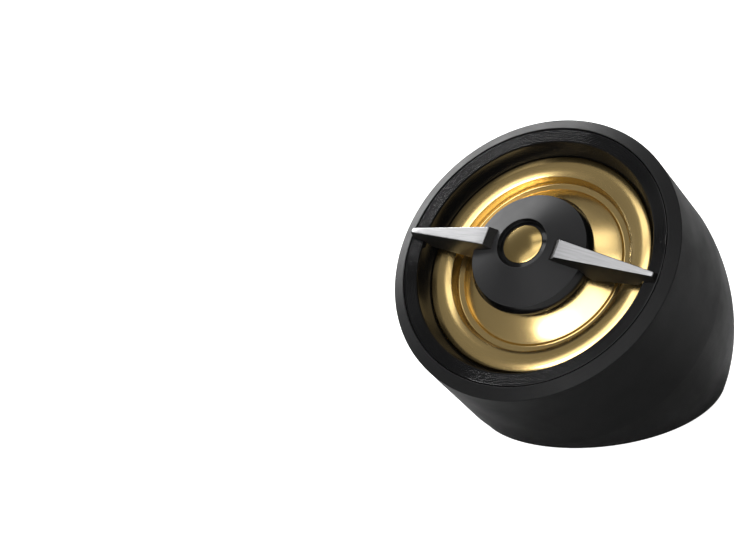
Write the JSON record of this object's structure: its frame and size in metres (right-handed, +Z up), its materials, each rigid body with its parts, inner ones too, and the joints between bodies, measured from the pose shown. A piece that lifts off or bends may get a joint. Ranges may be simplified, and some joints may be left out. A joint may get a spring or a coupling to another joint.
{
  "type": "car dome tweeter",
  "caption": "Small car dome tweeter with a gold ring diaphragm, a central phase plug on two tapered arms and an angled surface-mount cup that turns on a screwed base.",
  "frame": {"origin": "centre of the round mounting base, on the surface it is screwed to", "axes": "+Z up, away from the mounting surface; the tweeter faces -Y and upwards, its face normal 46 degrees from vertical; +X runs along the two wings, to the right for someone who faces the tweeter"},
  "size_m": [0.0342, 0.0437, 0.0336],
  "materials": {
    "base_plastic": "moulded black ABS",
    "black_rubber": "soft moulded rubber",
    "cup_plastic": "fine-textured satin black",
    "gloss_black": "gloss black with fine turned grooves",
    "foam": "thin foam ring",
    "plug_plastic": "satin dark grey with polished chamfers",
    "brushed_aluminium": "brushed along the length",
    "gold_cap": "satin gold anodised",
    "gold_film": "metallised polymer film",
    "frame_plastic": "moulded black",
    "former_film": "amber polyimide tube",
    "copper_wire": "enamelled copper winding",
    "plated_steel": "zinc plated",
    "magnet_nickel": "nickel plated neodymium",
    "felt": "dark felt",
    "phenolic_board": "brown phenolic sheet",
    "rivet_aluminium": "plain",
    "tinned_brass": "tin plated",
    "lead_wire": "fine copper wire",
    "solder": "bright solder"
  },
  "bodies": {
    "base": {"mounting_base": "base_plastic", "wire_grommet": "black_rubber"},
    "cup": {"cup_shell": "cup_plastic"},
    "tweeter": {"bezel_ring": "gloss_black", "seat_gasket": "foam", "phase_plug": "plug_plastic", "right_wing": "brushed_aluminium", "left_wing": "brushed_aluminium", "center_cap": "gold_cap", "surround": "gold_film", "diaphragm_frame": "frame_plastic", "pole_plate": "plated_steel", "magnet": "magnet_nickel", "yoke": "plated_steel", "damping_pad": "felt", "module_housing": "frame_plastic", "yoke_retainer": "frame_plastic", "terminal_board": "phenolic_board", "terminal_rivets": "rivet_aluminium", "positive_terminal": "tinned_brass", "negative_terminal": "tinned_brass", "coil_leads": "lead_wire", "solder_joints": "solder"},
    "diaphragm": {"dome": "gold_film", "coil_former": "former_film", "voice_coil": "copper_wire"}
  },
  "joints": [
    {"name": "cup_swivel", "type": "hinge", "parent": "base", "child": "cup", "pos_m": [0, 0, 0], "axis": [0, 0, 1], "range_deg": [-90, 90]},
    {"name": "tweeter_twist_lock", "type": "hinge", "parent": "cup", "child": "tweeter", "pos_m": [0, -0.01531, 0.02176], "axis": [0, -0.7193, 0.6947], "range_deg": [0, 35]},
    {"name": "coil_travel", "type": "slide", "parent": "tweeter", "child": "diaphragm", "axis": [0, -0.7193, 0.6947], "range_m": [-0.00025, 0.00025], "stiffness_N_per_m": 1000}
  ]
}
